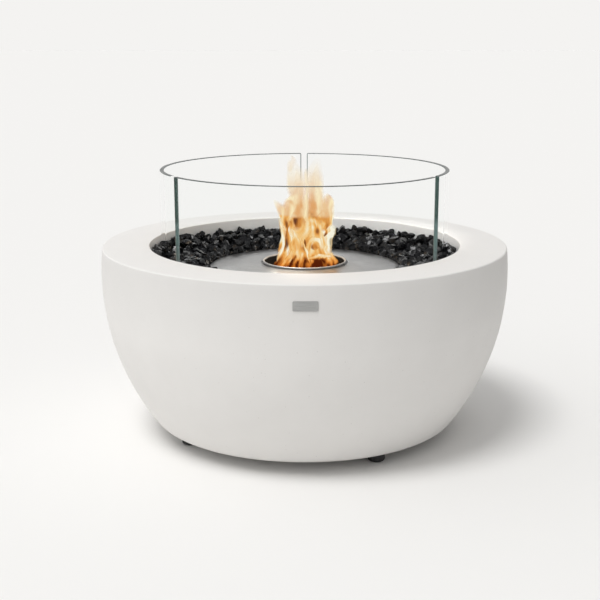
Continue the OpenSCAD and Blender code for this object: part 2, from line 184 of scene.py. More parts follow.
base_middle = (side_x(z_under + base_round, base_round), z_under + base_round)
rim_middle = (side_x(z_rim - rim_round, rim_round), z_rim - rim_round)
inner_top = math.asin((z_rim - wall - side_middle[1]) / (side_r - wall))
inner_low = math.asin((z_under + wall - side_middle[1]) / (side_r - wall))
bowl_outline = (
    [(ring_r, z_under + rebate_h), (rebate_r, z_under + rebate_h), (rebate_r, z_under)]
    + arc(base_middle, base_round, -math.pi / 2, meets(base_middle), 12)
    + arc(side_middle, side_r, meets(base_middle), meets(rim_middle), 64)[1:]
    + arc(rim_middle, rim_round, meets(rim_middle), math.pi / 2, 10)[1:]
    + arc((mouth_r + mouth_round, z_rim - mouth_round), mouth_round, math.pi / 2, math.pi, 8)
    + [(mouth_r, z_shelf), (well_r, z_shelf), (well_r, z_shelf - wall),
       (mouth_r + wall, z_shelf - wall), (mouth_r + wall, z_rim - wall)]
    + arc(side_middle, side_r - wall, inner_top, inner_low, 24)
    + [(ring_r, z_under + wall)])
bowl = turned("bowl_casting", bowl_outline, steps=288)


def new_group(name, inputs, outputs):
    """An empty node group, with the outputs of its inlet and the inputs of its outlet."""
    group = bpy.data.node_groups.new(name, "ShaderNodeTree")
    for socket, value in inputs.items():
        kind = "NodeSocketVector" if isinstance(value, tuple) else "NodeSocketFloat"
        group.interface.new_socket(socket, in_out="INPUT", socket_type=kind).default_value = value
    for socket in outputs:
        group.interface.new_socket(socket, in_out="OUTPUT", socket_type="NodeSocketFloat")
    return group, put(group, "NodeGroupInput").outputs, put(group, "NodeGroupOutput").inputs


def placed(tree, group, values):
    return put(tree, "ShaderNodeGroup", values, node_tree=group).outputs


def here(tree):
    return put(tree, "ShaderNodeTexCoord").outputs["Object"]


def noise(tree, spot, scale, detail, roughness=0.5, distortion=0.0):
    values = {"Scale": scale, "Detail": detail, "Roughness": roughness, "Distortion": distortion}
    return put(tree, "ShaderNodeTexNoise", {"Vector": spot, **values}).outputs["Fac"]


# Grain: cloudy shade over the whole surface, a finer height for the bump, and scattered pores.
grain, given, result = new_group(
    "grain", {"Scale": 20.0, "Contrast": 0.5, "Pores": 0.0}, ("Shade", "Height", "Pits"))
spot = here(grain)
cloud = worked(grain, "SUBTRACT", noise(grain, spot, given["Scale"], 6.0, 0.6), 0.5)
fine = noise(grain, spot, worked(grain, "MULTIPLY", given["Scale"], 14.0), 5.0, 0.65)
pore_scale = worked(grain, "MULTIPLY", given["Scale"], 9.0)
cells = put(grain, "ShaderNodeTexVoronoi", {"Vector": spot, "Scale": pore_scale}).outputs
pore = put(grain, "ShaderNodeSeparateColor", {"Color": cells["Color"]}).outputs["Red"]
near = worked(grain, "SUBTRACT", ranged(grain, pore, 0.0, 0.16, 0.72, 1.0), cells["Distance"])
pits = worked(grain, "MULTIPLY", ranged(grain, near, 0.0, 1.0, 0.0, 0.05), given["Pores"])
grain.links.new(worked(grain, "MULTIPLY_ADD", cloud, given["Contrast"], 0.5), result["Shade"])
grain.links.new(worked(grain, "SUBTRACT", fine, pits), result["Height"])
grain.links.new(pits, result["Pits"])


def bumped(tree, shader, height, strength, depth):
    bump = put(tree, "ShaderNodeBump", {"Height": height, "Strength": strength, "Distance": depth})
    tree.links.new(bump.outputs[0], shader.inputs["Normal"])


def upright(tree, spot):
    return put(tree, "ShaderNodeSeparateXYZ", {0: spot}).outputs["Z"]


def scaled(tree, spot, factors):
    return put(tree, "ShaderNodeVectorMath", {0: spot, 1: factors}, operation="MULTIPLY").outputs[0]


def off_axis(tree, spot):
    """The distance of a spot from the upright axis."""
    flat = scaled(tree, spot, (1.0, 1.0, 0.0))
    return put(tree, "ShaderNodeVectorMath", {0: flat}, operation="LENGTH").outputs["Value"]


# Painted shade: the side is painted a little darker towards the rim, and the recess wall a little darker
# and cooler, against the warm light that bounces inside it. The rim's flat top is left unpainted.
z_painted_shade, z_unshaded_top, recess_edge = (0.185, 0.270), (0.2790, 0.2804), (0.2296, 0.2304)
cast_white, tree, shader = new_finish("cast_white")
cast = placed(tree, grain, {"Scale": 22.0, "Contrast": 0.9, "Pores": 1.0})
clouds = mixed(tree, cast["Shade"], (0.765, 0.750, 0.728, 1), (0.815, 0.800, 0.778, 1))
spot = here(tree)
height = upright(tree, spot)
recess = ranged(tree, off_axis(tree, spot), 1.0, 0.0, *recess_edge)
painted_shade_tint = mixed(tree, recess, (0.895, 0.895, 0.895, 1), (0.920, 0.942, 0.970, 1))
# The band of painted shade rises up the side and stops under the rim's flat top.
painted_shade_band = worked(tree, "MULTIPLY", ranged(tree, height, 0.0, 1.0, *z_painted_shade),
              ranged(tree, height, 1.0, 0.0, *z_unshaded_top))
clouds = mixed(tree, painted_shade_band, clouds, painted_shade_tint, blend="MULTIPLY")
# The pores are dented by the bump and painted darker, as painted shade inside them.
tree.links.new(mixed(tree, cast["Pits"], clouds, (0.64, 0.625, 0.60, 1)), shader.inputs["Base Color"])
tree.links.new(ranged(tree, cast["Shade"], 0.50, 0.66), shader.inputs["Roughness"])
shader.inputs["Specular IOR Level"].default_value = 0.06
bumped(tree, shader, cast["Height"], 0.25, 0.0004)
bowl.data.materials.append(cast_white)
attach(bowl, "bowl")
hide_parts("bowl")


# Base cover: a round sheet of powder-coated steel, let into the foot ring from below and held
# by six pan-head screws. It closes the hollow of the casting.
def grained(name, scale, contrast, dark, light, rough, strength, depth, pores=0.0):
    """A finish whose colour and bump follow the grain, and its gloss too where rough is a range."""
    finish, tree, shader = new_finish(name)
    marks = placed(tree, grain, {"Scale": scale, "Contrast": contrast, "Pores": pores})
    tree.links.new(mixed(tree, marks["Shade"], dark, light), shader.inputs["Base Color"])
    if isinstance(rough, tuple):
        tree.links.new(ranged(tree, marks["Shade"], *rough), shader.inputs["Roughness"])
    else:
        shader.inputs["Roughness"].default_value = rough
    bumped(tree, shader, marks["Height"], strength, depth)
    return finish


def painted(finish, *nodes):
    """CAD nodes that keep their own shape and get a finish."""
    for node in nodes:
        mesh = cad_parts[node].data
        mesh.materials.clear()
        mesh.materials.append(finish)


cover_paint = grained(
    "cover_paint", 60.0, 1.0, (0.030, 0.030, 0.033, 1), (0.062, 0.062, 0.066, 1), (0.48, 0.68), 0.5, 0.0003)
painted(cover_paint, "base_cover")

# Brushing: fine scratches along one direction, a little uneven in depth from place to place.
brushing, given, result = new_group(
    "brushing", {"Stretch": (4.0, 400.0, 400.0), "Unevenness": 0.5}, ("Shade", "Height"))
spot = here(brushing)
lines = noise(brushing, scaled(brushing, spot, given["Stretch"]), 1.0, 4.0, 0.6)
patches = worked(brushing, "SUBTRACT", noise(brushing, spot, 14.0, 3.0), 0.5)
uneven = worked(brushing, "MULTIPLY_ADD", patches, given["Unevenness"], lines)
brushing.links.new(uneven, result["Shade"])
brushing.links.new(lines, result["Height"])


def brushed(name, dark, light, rough, stretch, uneven=0.6, depth=0.00006):
    """Bare metal with brushing lines."""
    finish, tree, shader = new_finish(name)
    marks = placed(tree, brushing, {"Stretch": stretch, "Unevenness": uneven})
    even = ranged(tree, marks["Shade"], 0.0, 1.0, 0.25, 0.75)
    tree.links.new(mixed(tree, even, dark, light), shader.inputs["Base Color"])
    tree.links.new(ranged(tree, even, rough[1], rough[0]), shader.inputs["Roughness"])
    shader.inputs["Metallic"].default_value = 1.0
    bumped(tree, shader, marks["Height"], 0.35, depth)
    return finish


bright_steel = brushed(
    "bright_steel", (0.52, 0.52, 0.53, 1), (0.70, 0.70, 0.71, 1), (0.22, 0.36), (300, 300, 60))
painted(bright_steel, "cover_screws")

# Feet: four moulded rubber pads with a rounded tread. Each is held by a screw, sunk into the
# pad from below, that goes into a brass insert cast into the foot ring.
foot_r, first_foot = base_middle[0] - 0.015, -59
feet = ("foot_front_right", "foot_back_right", "foot_back_left", "foot_front_left")
pad_outline = (
    [(0.0046, 0.0)] + arc((0.008, 0.004), 0.004, -math.pi / 2, 0, 10)
    + [(0.012, 0.0112), (0.0114, 0.0118), (0.0114, 0.0126), (0.012, 0.0132), (0.012, 0.0146),
       (0.0116, 0.015), (0.0026, 0.015), (0.0026, 0.008), (0.0046, 0.008)])
foot_rubber = grained(
    "foot_rubber", 110.0, 1.0, (0.008, 0.008, 0.008, 1), (0.020, 0.020, 0.021, 1), (0.42, 0.62), 0.4, 0.0002)
for turn, foot in enumerate(feet):
    way = math.radians(first_foot + 90 * turn)
    middle = (foot_r * math.cos(way), foot_r * math.sin(way))
    pad = turned(foot + "_pad", pad_outline, steps=64, centre=middle)
    pad.data.materials.append(foot_rubber)
    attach(pad, "bowl")
    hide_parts(foot)
painted(bright_steel, "foot_screws")
brass = brushed(
    "brass", (0.50, 0.36, 0.13, 1), (0.66, 0.52, 0.24, 1), (0.25, 0.42), (60, 60, 500))
painted(brass, "foot_inserts")

# Front plate: a small bare plate of brushed stainless steel with rounded corners, curved to the
# side of the bowl and stuck on with a thin foam pad.
plate_w, plate_h, plate_t, pad_t, z_front = 0.032, 0.012, 0.0008, 0.0004, 0.254
corner_round, edge_round, in_front, near_zero = 0.0011, 0.0002, -0.32, 1e-5
bpy.ops.object.select_all(action="DESELECT")
bpy.ops.mesh.primitive_grid_add(x_subdivisions=24, y_subdivisions=8, size=1)
front_plate = bpy.context.object
front_plate.name = front_plate.data.name = "front_plate_bare"
bpy.ops.object.mode_set(mode="EDIT")
bpy.ops.mesh.select_all(action="SELECT")
bpy.ops.transform.resize(value=(plate_w, plate_h, 1))
bpy.ops.transform.rotate(value=-math.pi / 2, orient_axis="X", center_override=(0, 0, 0))
bpy.ops.transform.translate(value=(0, in_front, z_front))
bpy.ops.mesh.select_all(action="DESELECT")
bpy.ops.object.mode_set(mode="OBJECT")
for corner in front_plate.data.vertices:
    at_end = abs(corner.co.x) > plate_w / 2 - near_zero
    corner.select = at_end and abs(corner.co.z - z_front) > plate_h / 2 - near_zero
bpy.ops.object.mode_set(mode="EDIT")
bpy.ops.mesh.bevel(affect="VERTICES", offset=corner_round, segments=5)
bpy.ops.object.mode_set(mode="OBJECT")
hug = front_plate.modifiers.new("hug", "SHRINKWRAP")
hug.target = bowl
hug.wrap_method = "PROJECT"
hug.use_project_y = True
hug.use_positive_direction = True
hug.offset = pad_t
bpy.ops.object.modifier_apply(modifier="hug")
thick = front_plate.modifiers.new("thick", "SOLIDIFY")
thick.thickness = plate_t
thick.offset = 1.0
bpy.ops.object.modifier_apply(modifier="thick")
eased = front_plate.modifiers.new("eased", "BEVEL")
eased.width = edge_round
eased.segments = 3
eased.limit_method = "ANGLE"
eased.angle_limit = math.radians(50)
bpy.ops.object.modifier_apply(modifier="eased")
bpy.ops.object.shade_smooth_by_angle(angle=math.radians(35))
plate_steel = brushed(
    "plate_steel", (0.30, 0.30, 0.295, 1), (0.46, 0.46, 0.45, 1), (0.30, 0.46), (40, 2500, 2500))
front_plate.data.materials.append(plate_steel)
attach(front_plate, "bowl")
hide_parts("front_plate")
pad_foam = grained(
    "pad_foam", 160.0, 1.2, (0.020, 0.020, 0.020, 1), (0.060, 0.060, 0.060, 1), 0.85, 0.6, 0.0003, pores=1.0)
painted(pad_foam, "front_plate_pad")

# Burner: a double can of stainless steel that drops into the well of the shelf. Its skin and
# tank are mill-finish sheet, and ceramic wool in the tank soaks up the fuel.
fibre = grained(
    "fibre", 90.0, 1.3, (0.66, 0.63, 0.56, 1), (0.84, 0.82, 0.76, 1), 0.95, 0.9, 0.0008)
fibre.node_tree.nodes["Principled BSDF"].inputs["Sheen Weight"].default_value = 0.3
painted(fibre, "burner_gasket", "tank_spacers", "fuel_wool")
dark_steel = brushed(
    "dark_steel", (0.30, 0.30, 0.31, 1), (0.46, 0.46, 0.47, 1), (0.32, 0.50), (30, 30, 700))
painted(dark_steel, "burner_skin", "fuel_tank")

# Burner plate: a round of stainless sheet, brushed in straight lines, with a broken outer edge.
# Its flat rim laps onto the shelf, and the rest rises slightly to a groove round the collar.
z_plate_low, z_plate, plate_r = 0.2425, 0.245, 0.142
flat_in_r, hole_r, dish = 0.1305, 0.0645, 0.006
under_edge, over_edge, z_hole = 0.0003, 0.0009, z_plate + dish
burner_plate = turned("burner_top_plate", (
    [(hole_r, z_plate_low + dish), (flat_in_r, z_plate_low),
     (plate_r - under_edge, z_plate_low), (plate_r, z_plate_low + under_edge)]
    + arc((plate_r - over_edge, z_plate - over_edge), over_edge, 0, math.pi / 2, 6)
    + [(flat_in_r + 0.004, z_plate), (flat_in_r + 0.001, z_plate + 0.00008),
       (flat_in_r - 0.003, z_plate + 0.00030), (hole_r + 0.0005, z_hole - 0.00005),
       (hole_r + 0.0001, z_hole - 0.0002), (hole_r, z_hole - 0.0006)]), steps=256)
burner_steel = brushed(
    "burner_steel", (0.33, 0.33, 0.335, 1), (0.47, 0.47, 0.475, 1), (0.26, 0.42), (9, 900, 900), uneven=0.9)
burner_plate.data.materials.append(burner_steel)
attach(burner_plate, "burner")
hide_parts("burner_plate")

# Collar: a tube of stainless steel with its upper edge rolled outwards into a smooth bead,
# held under the plate by a flange. Soot darkens its inside, and the baffle across its lower end.
collar_r, collar_out_r, lip_r, z_lip, z_collar = 0.060, 0.0615, 0.0015, 0.2525, 0.214
flange_r, flange_t = 0.0705, 0.0015
z_in, z_out = (z_plate_low + dish * (flat_in_r - r) / (flat_in_r - hole_r) for r in (collar_out_r, flange_r))
collar = turned("burner_rolled_collar", (
    [(collar_r, z_collar)] + arc((collar_r + lip_r, z_lip), lip_r, math.pi, -math.pi / 2, 24)
    + [(collar_out_r, z_in), (flange_r, z_out), (flange_r, z_out - flange_t),
       (collar_out_r, z_in - flange_t), (collar_out_r, z_collar)]), steps=192)

# Soot: how far a spot lies down inside the burner's mouth, broken up by smoky patches.
soot, given, result = new_group(
    "soot", {"Clean above": 0.252, "Depth": 0.008, "Wall": 0.0612}, ("Mask",))
spot = here(soot)
drop = worked(soot, "SUBTRACT", given["Clean above"], upright(soot, spot))
share = worked(soot, "DIVIDE", drop, given["Depth"])
ragged = worked(soot, "MULTIPLY_ADD", noise(soot, spot, 60.0, 5.0, 0.6), 0.9, share)
inside = worked(soot, "LESS_THAN", off_axis(soot, spot), given["Wall"])
mask = worked(soot, "MULTIPLY", ranged(soot, ragged, 0.0, 1.0, 0.45, 1.1), inside)
soot.links.new(mask, result["Mask"])


def between(tree, mask, low, high):
    """A number between two, by a mask."""
    return put(tree, "ShaderNodeMix", {0: mask, 2: low, 3: high}, data_type="FLOAT").outputs[0]


def sooted(finish, values, tone):
    """Soot over a finish that already has its colour, roughness and metal."""
    tree, shader = finish.node_tree, finish.node_tree.nodes["Principled BSDF"]
    mask = placed(tree, soot, values)["Mask"]
    shader.inputs["Specular IOR Level"].default_value = 0.1
    for name, black in (("Base Color", tone), ("Roughness", 0.85), ("Metallic", 0.0)):
        socket = shader.inputs[name]
        under = socket.links[0].from_socket if socket.links else socket.default_value
        blend = mixed if name == "Base Color" else between
        tree.links.new(blend(tree, mask, under, black), socket)


collar_steel = brushed(
    "collar_steel", (0.40, 0.395, 0.39, 1), (0.51, 0.505, 0.50, 1), (0.50, 0.65), (200, 200, 200), uneven=0.4)
sooted(collar_steel, {"Clean above": 0.2533, "Depth": 0.003, "Wall": 0.0612}, (0.010, 0.007, 0.005, 1))
collar.data.materials.append(collar_steel)
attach(collar, "burner")
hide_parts("burner_collar")
baffle_steel = brushed(
    "baffle_steel", (0.16, 0.15, 0.15, 1), (0.30, 0.28, 0.27, 1), (0.40, 0.60), (80, 80, 80))
sooted(baffle_steel, {"Clean above": 0.222, "Depth": 0.010, "Wall": 0.0700}, (0.012, 0.010, 0.009, 1))
painted(baffle_steel, "burner_baffle")

# Glass shoes: six folded steel channels screwed to the shelf under the broken glass. A soft
# silicone liner in each keeps the glass off the metal.
shoes = [f"shoe_{side}_{end}" for side in ("front", "right", "left") for end in (1, 2)]
liners = [f"liner_{side}_{end}" for side in ("front", "right", "left") for end in (1, 2)]
painted(dark_steel, *shoes)
painted(bright_steel, "shoe_screws")
liner_silicone = grained(
    "liner_silicone", 80.0, 0.8, (0.035, 0.035, 0.038, 1), (0.065, 0.065, 0.070, 1), (0.5, 0.7), 0.3, 0.0002)
painted(liner_silicone, *liners)

# Glass screen: three bent panels of clear 6 mm toughened glass. Their ground edges look dark
# and blue-green, because the light runs along the sheet.
glass_in_r, glass_out_r, z_glass, z_glass_top, arris = 0.2055, 0.2115, 0.2442, 0.3915, 0.0008
glass_mid_r, panel_gap, end_arris = 0.2085, 0.0095, 0.0011
panel_sweep = math.radians(120) - panel_gap / glass_mid_r
clear_glass, tree, shader = new_finish("clear_glass")
wiped = placed(tree, grain, {"Scale": 9.0, "Contrast": 0.6, "Pores": 0.0})
film = mixed(tree, wiped["Shade"], (0.990, 0.997, 0.995, 1), (0.996, 1.0, 0.998, 1))
tree.links.new(film, shader.inputs["Base Color"])
shader.inputs["Roughness"].default_value = 0.0
shader.inputs["IOR"].default_value = 1.002
shader.inputs["Transmission Weight"].default_value = 1.0

# The edges' tones are painted light and shade: greyer down in the broken glass and along their inner
# side, and almost black on the top.
z_in_bed, z_dark = (0.262, 0.300), (0.322, 0.334)
inner_side = (glass_in_r + 0.0009, glass_in_r + 0.0020)
z_top_line = (z_glass_top - 0.0012, z_glass_top - 0.0004)
ground_edge, tree, shader = new_finish("ground_edge")
frost = placed(tree, grain, {"Scale": 30.0, "Contrast": 1.4, "Pores": 0.0})
spot = here(tree)
height = upright(tree, spot)
out_of_bed = ranged(tree, height, 0.0, 1.0, *z_in_bed)
edge = mixed(tree, out_of_bed, (0.200, 0.225, 0.220, 1), (0.150, 0.235, 0.230, 1))
edge = mixed(tree, ranged(tree, height, 0.0, 1.0, *z_dark), edge, (0.036, 0.080, 0.068, 1))
inward = ranged(tree, off_axis(tree, spot), 0.55, 0.0, *inner_side)
edge = mixed(tree, inward, edge, (0.180, 0.240, 0.225, 1))
on_top = ranged(tree, height, 0.0, 1.0, *z_top_line)
edge = mixed(tree, on_top, edge, (0.020, 0.026, 0.025, 1))
edge = mixed(tree, ranged(tree, frost["Shade"], 0.0, 0.30), edge, (0.060, 0.110, 0.100, 1))
tree.links.new(edge, shader.inputs["Base Color"])
tree.links.new(ranged(tree, frost["Shade"], 0.22, 0.40), shader.inputs["Roughness"])
bumped(tree, shader, frost["Height"], 0.2, 0.0001)

# At each gap in front one of the two ends is polished and stays clear.
end_on, face_on = 0.3, 0.95
for side, middle in (("front", -90), ("right", 30), ("left", 150)):
    panel = turned(f"glass_{side}_panel", [
        (glass_in_r + arris, z_glass), (glass_out_r - arris, z_glass), (glass_out_r, z_glass + arris),
        (glass_out_r, z_glass_top - arris), (glass_out_r - arris, z_glass_top),
        (glass_in_r + arris, z_glass_top), (glass_in_r, z_glass_top - arris), (glass_in_r, z_glass + arris)],
        steps=120, sweep=panel_sweep, start=math.radians(middle) - panel_sweep / 2)
    ground = panel.modifiers.new("ground", "BEVEL")
    ground.width = end_arris
    ground.segments = 1
    ground.limit_method = "ANGLE"
    ground.angle_limit = math.radians(60)
    bpy.ops.object.modifier_apply(modifier="ground")
    panel.data.materials.append(clear_glass)
    panel.data.materials.append(ground_edge)
    for face in panel.data.polygons:
        across = Vector((face.center.x, face.center.y, 0)).normalized()
        end = abs(face.normal.cross(across).z) > end_on
        polished = end and {"front": face.center.x > 0, "right": False, "left": face.center.y < 0}[side]
        face.material_index = 0 if polished or abs(face.normal.dot(across)) > face_on else 1
    panel.visible_shadow = False
    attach(panel, f"{side}_glass")
    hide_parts(f"glass_{side}")

# Broken glass: a loose bed of black tumbled shards, poured round the burner and on both sides of
# the screen. A few shards are cut from a block with flat breaks and then turned and repeated.
shard_kinds, breaks, chip, throws = 9, 14, 0.05, 9000
chance = random.Random(11)
shards = []
for kind in range(shard_kinds):
    bpy.ops.object.select_all(action="DESELECT")
    bpy.ops.mesh.primitive_cube_add(size=2)
    shard = bpy.context.object
    bpy.ops.object.mode_set(mode="EDIT")
    for cut in range(breaks):
        way = Vector((chance.gauss(0, 1), chance.gauss(0, 1), chance.gauss(0, 1))).normalized()
        far = way * chance.uniform(0.60, 0.92)
        bpy.ops.mesh.select_all(action="SELECT")
        bpy.ops.mesh.bisect(plane_co=far, plane_no=way, use_fill=True, clear_outer=True)
    bpy.ops.mesh.select_all(action="SELECT")
    bpy.ops.mesh.remove_doubles(threshold=chip)
    bpy.ops.mesh.normals_make_consistent(inside=False)
    bpy.ops.object.mode_set(mode="OBJECT")
    shards.append(shard)

bed_in_r, bed_out_r, bed_gap = 0.143, 0.229, 0.0002
bed_low, bed_rise, bed_side_rise = 0.0130, 0.0110, 0.0070
shoe_ways = [math.radians(middle + end * 42) for middle in (-90, 30, 150) for end in (-1, 1)]
shoe_half = math.radians(5.5)
shoe_foot_r, z_shoe_foot, shoe_r, z_shoe = 0.185, 0.2454, 0.2015, 0.2532


def off_shoe(way):
    return min(abs(math.remainder(way - shoe, full_turn)) for shoe in shoe_ways)


def ground_under(way, r, half):
    """The shelf, or a shoe's foot or channel where one stands there."""
    if off_shoe(way) < shoe_half + half / r:
        if r + half > shoe_r:
            return z_shoe
        if r + half > shoe_foot_r:
            return z_shoe_foot
    return z_shelf + bed_gap


def heap(name, r0, r1, layers):
    """Shards thrown into a ring, layer by layer. A layer has the distance that they keep, their
    width and tilt, how far up the bed they lie, and how far out they reach."""
    poured = []
    for apart, width, tilt, level, reach in layers:
        taken = []
        for throw in range(throws):
            way = chance.uniform(0, full_turn)
            r = math.sqrt(chance.uniform(r0 ** 2, reach ** 2))
            x, y = r * math.cos(way), r * math.sin(way)
            if any((x - a) ** 2 + (y - b) ** 2 < apart ** 2 for a, b in taken):
                continue
            taken.append((x, y))
            share = min(1.0, 1.2 * (r - bed_in_r) / (bed_out_r - bed_in_r))
            half = width / 2 * chance.uniform(0.72, 1.12) * (0.76 + 0.24 * min(1.0, 2.5 * share))
            shape = [half * chance.uniform(*limits) for limits in ((0.9, 1.2), (0.7, 1.0), (0.70, 1.0))]
            angles = [chance.uniform(*limits) for limits in ((-tilt, tilt), (-tilt, tilt), (0, 6.28))]
            turn = Euler(angles).to_matrix()
            mesh = chance.choice(shards).data.copy()
            for corner in mesh.vertices:
                corner.co = turn @ Vector(a * b for a, b in zip(corner.co, shape))
            lowest = min(corner.co.z for corner in mesh.vertices)
            highest = max(corner.co.z for corner in mesh.vertices)
            top = bed_low + (bed_rise + bed_side_rise * abs(math.cos(way))) * share
            top += chance.uniform(-0.0040, 0.0030)
            floor_here = ground_under(way, r, half)
            if level == 1.0 and floor_here > z_shelf + bed_gap:
                continue
            z = max(z_shelf + level * top - highest, floor_here - lowest)
            ahead = Vector((math.cos(way), math.sin(way), 0))
            spots = [Vector((x, y, z)) + corner.co for corner in mesh.vertices]
            reach_in = min(spot.to_2d().length for spot in spots)
            reach_out = max(spot.to_2d().length for spot in spots)
            push = max(0.0, r0 - reach_in) - max(0.0, reach_out - r1)
            for corner, spot in zip(mesh.vertices, spots):
                corner.co = spot + ahead * push
                far = corner.co.to_2d().length
                if not r0 <= far <= r1:
                    corner.co.xy = corner.co.xy * (min(max(far, r0), r1) / far)
            poured.append(mesh)
    bpy.ops.object.select_all(action="DESELECT")
    for mesh in poured:
        piece = bpy.data.objects.new(name, mesh)
        bpy.context.scene.collection.objects.link(piece)
        piece.select_set(True)
    bpy.context.view_layer.objects.active = piece
    bpy.ops.object.join()
    bpy.ops.object.shade_smooth_by_angle(angle=math.radians(38))
    piece.name = piece.data.name = name
    return piece


inside_bed = heap("broken_glass_inside", 0.1428, 0.2047, [
    (0.0060, 0.0105, 0.6, 0.0, 0.1560), (0.0085, 0.0155, 0.6, 0.0, 0.2047),
    (0.0120, 0.0165, 1.5, 0.6, 0.2047), (0.0130, 0.0190, 1.5, 1.0, 0.2047)])
outside_bed = heap("broken_glass_outside", 0.2123, 0.2289, [
    (0.0080, 0.0140, 0.6, 0.0, 0.2289), (0.0105, 0.0150, 1.5, 0.6, 0.2289),
    (0.0115, 0.0160, 1.5, 1.0, 0.2289)])
for shard in shards:
    bpy.data.objects.remove(shard)
black_glass, tree, shader = new_finish("black_glass")
shatter = placed(tree, grain, {"Scale": 55.0, "Contrast": 1.6, "Pores": 0.0})
black = mixed(tree, shatter["Shade"], (0.003, 0.003, 0.0035, 1), (0.014, 0.014, 0.015, 1))
tree.links.new(black, shader.inputs["Base Color"])
tree.links.new(ranged(tree, shatter["Shade"], 0.05, 0.28), shader.inputs["Roughness"])
shader.inputs["Specular IOR Level"].default_value = 0.31
bumped(tree, shader, noise(tree, here(tree), 260.0, 2.0, distortion=0.8), 0.45, 0.0009)
for bed, node in ((inside_bed, "lumps_inside"), (outside_bed, "lumps_outside")):
    bed.data.materials.clear()
    bed.data.materials.append(black_glass)
    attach(bed, "bowl")
    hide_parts(node)

# Flame: thin curling sheets of burning vapour that stand up out of the burner's mouth. They are
# dull red at the root, yellow and dense to about two thirds, and pale and clear at the tips.
# Each sheet has its middle line, its widths along it, the way it faces, and its warmth.
tongues = [
    ([(-.028, -.032, .236), (-.029, -.032, .254), (-.026, -.030, .267), (-.022, -.027, .280),
      (-.020, -.024, .291), (-.021, -.020, .305), (-.025, -.015, .319), (-.032, -.011, .328),
      (-.039, -.009, .337), (-.046, -.008, .346)],
     [.0265, .0294, .0279, .0235, .0235, .0265, .0280, .0206, .0130, .0029], -112, 0.02),
    ([(-.002, -.036, .236), (-.002, -.036, .251), (-.004, -.033, .266), (-.005, -.030, .280),
      (-.005, -.027, .294), (-.004, -.023, .309), (-.005, -.018, .323), (-.008, -.013, .343),
      (-.012, -.010, .363), (-.014, -.007, .383), (-.021, -.005, .408)],
     [.0317, .0352, .0381, .0396, .0381, .0381, .0352, .0310, .0320, .0300, .0060], -94, 0.06),
    ([(.028, -.033, .236), (.029, -.033, .252), (.024, -.031, .265), (.021, -.028, .280),
      (.021, -.025, .294), (.023, -.021, .308), (.024, -.016, .322), (.018, -.012, .342),
      (.014, -.009, .363), (.014, -.006, .383), (.021, -.004, .408)],
     [.0423, .0470, .0382, .0382, .0396, .0411, .0382, .0323, .0300, .0290, .0060], -74, 0.06),
    ([(.033, -.016, .310), (.035, -.013, .323), (.035, -.010, .336), (.035, -.009, .346),
      (.032, -.008, .355)],
     [.0177, .0236, .0250, .0206, .0044], -70, 0.0),
    ([(-.026, -.018, .308), (-.025, -.015, .322), (-.023, -.012, .335), (-.019, -.010, .345),
      (-.015, -.009, .354)],
     [.0177, .0250, .0260, .0200, .0044], -108, 0.0),
    ([(-.026, .024, .232), (-.023, .020, .262), (-.019, .014, .292), (-.015, .010, .324),
      (-.010, .007, .358), (-.012, .006, .390)],
     [.030, .036, .032, .026, .018, .003], 100, 0.05),
    ([(.026, .026, .232), (.024, .020, .262), (.022, .014, .292), (.018, .010, .326),
      (.016, .008, .360), (.019, .006, .400)],
     [.030, .034, .030, .026, .020, .003], 75, 0.05),
    ([(-.033, .010, .232), (-.028, .008, .262), (-.023, .006, .292), (-.021, .004, .322),
      (-.018, .004, .352)],
     [.030, .038, .036, .028, .004], 180, 0.05),
    ([(.037, .010, .232), (.031, .008, .262), (.027, .006, .292), (.028, .005, .322),
      (.030, .004, .350)],
     [.030, .038, .034, .028, .004], 0, 0.05),
    ([(.002, .042, .232), (.003, .036, .256), (.004, .028, .284), (.006, .020, .312)],
     [.028, .030, .022, .003], 90, 0.05),
]
